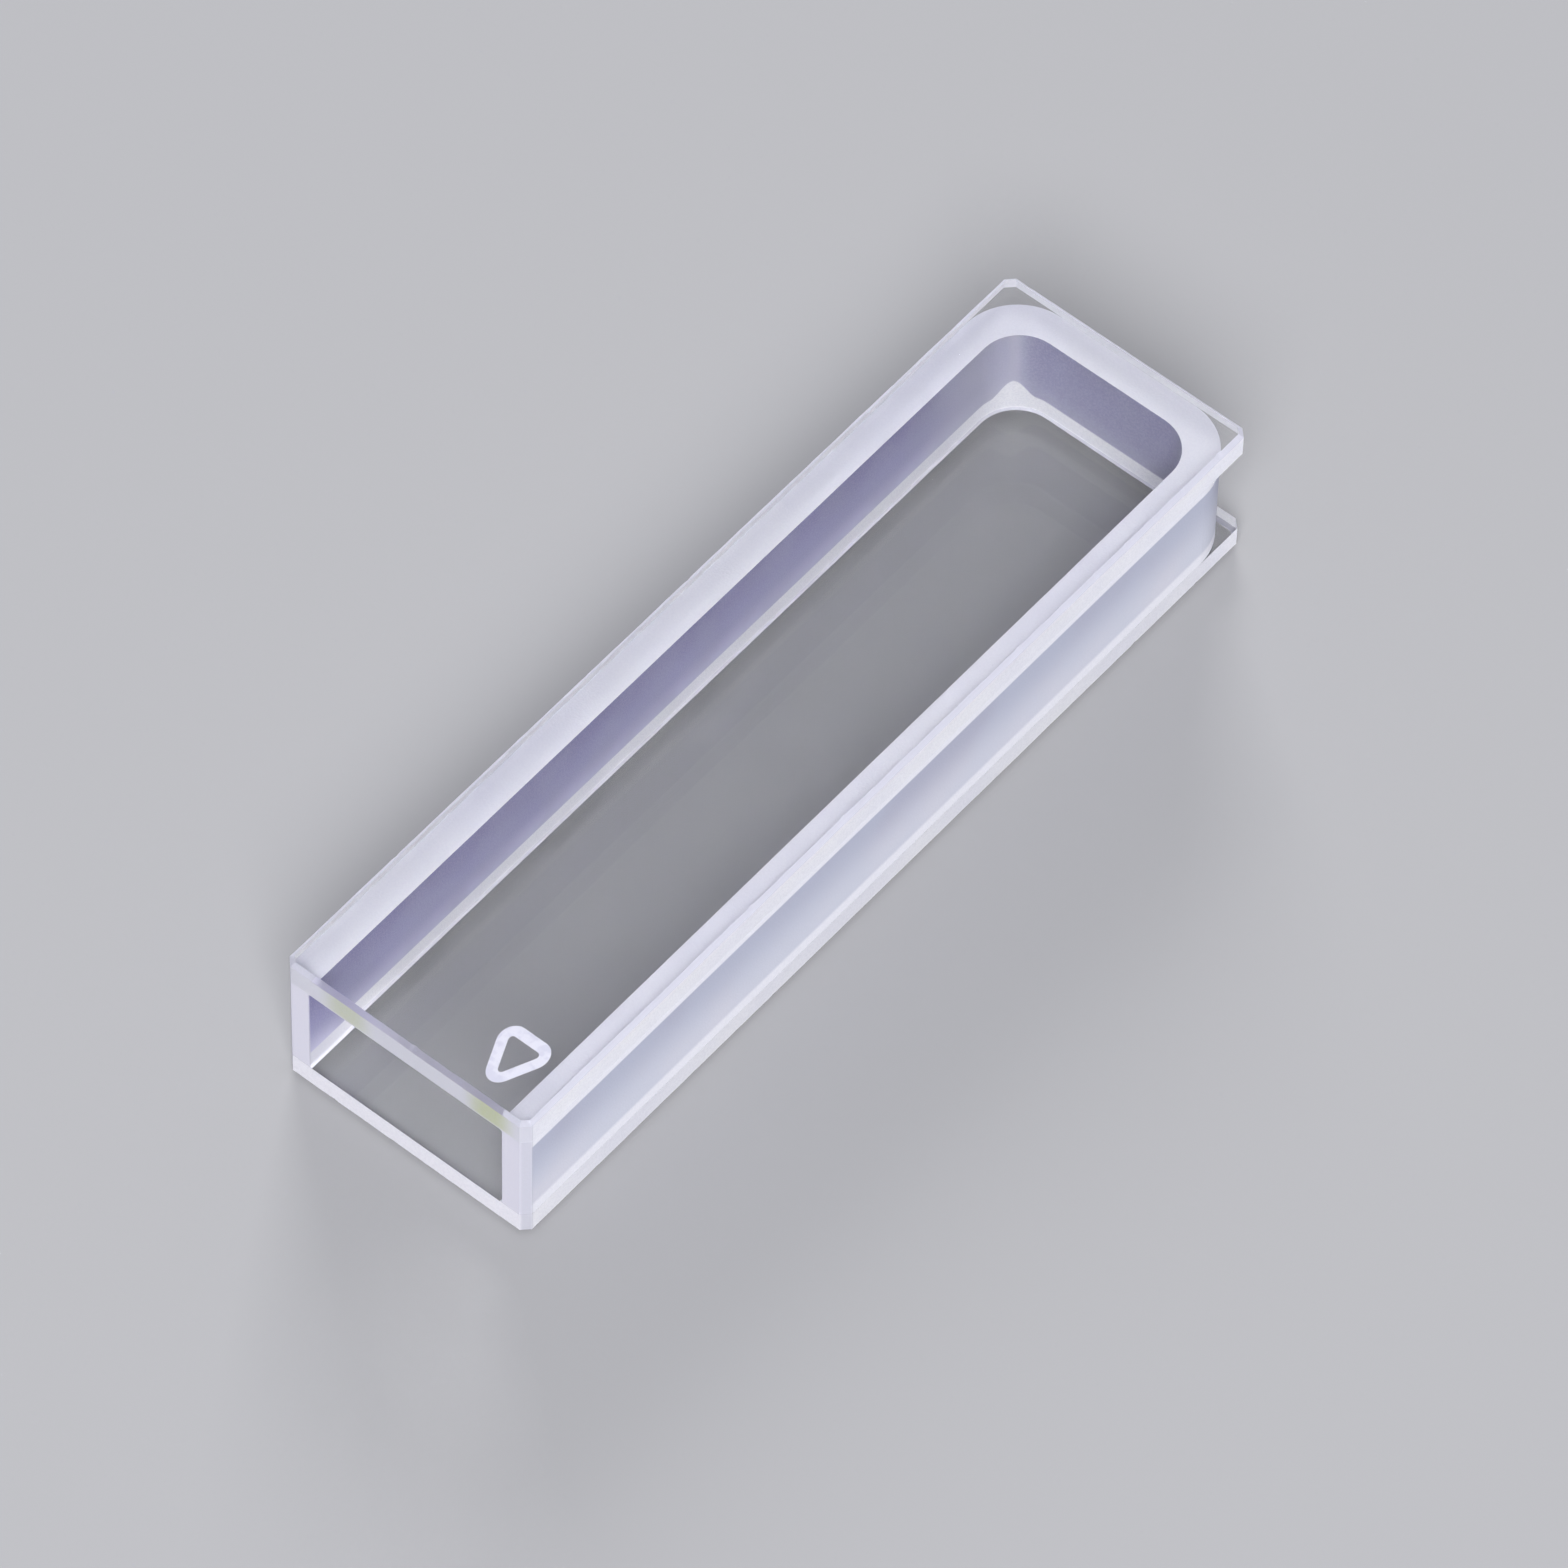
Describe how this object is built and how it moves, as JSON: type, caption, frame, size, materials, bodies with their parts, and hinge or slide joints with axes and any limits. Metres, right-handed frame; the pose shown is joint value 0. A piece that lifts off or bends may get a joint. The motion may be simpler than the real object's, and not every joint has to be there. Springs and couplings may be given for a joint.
{
  "type": "cuvette",
  "caption": "Short-path quartz absorption cuvette: a ground U-shaped frame fused between two clear polished windows, open at one end, rounded corners at the closed end.",
  "frame": {"origin": "centre of the back window's outer face, which the cuvette lies on", "axes": "+Z through the light path from the back window to the front window, +Y along the length from the mouth to the closed end, +X across the width"},
  "size_m": [0.0126, 0.045, 0.0075],
  "materials": {
    "clear_quartz": "polished, clear faces with ground edges",
    "ground_quartz": "fine ground, frosted white"
  },
  "bodies": {
    "root": {"u_frame": "ground_quartz", "back_window": "clear_quartz", "front_window": "clear_quartz"}
  },
  "joints": []
}
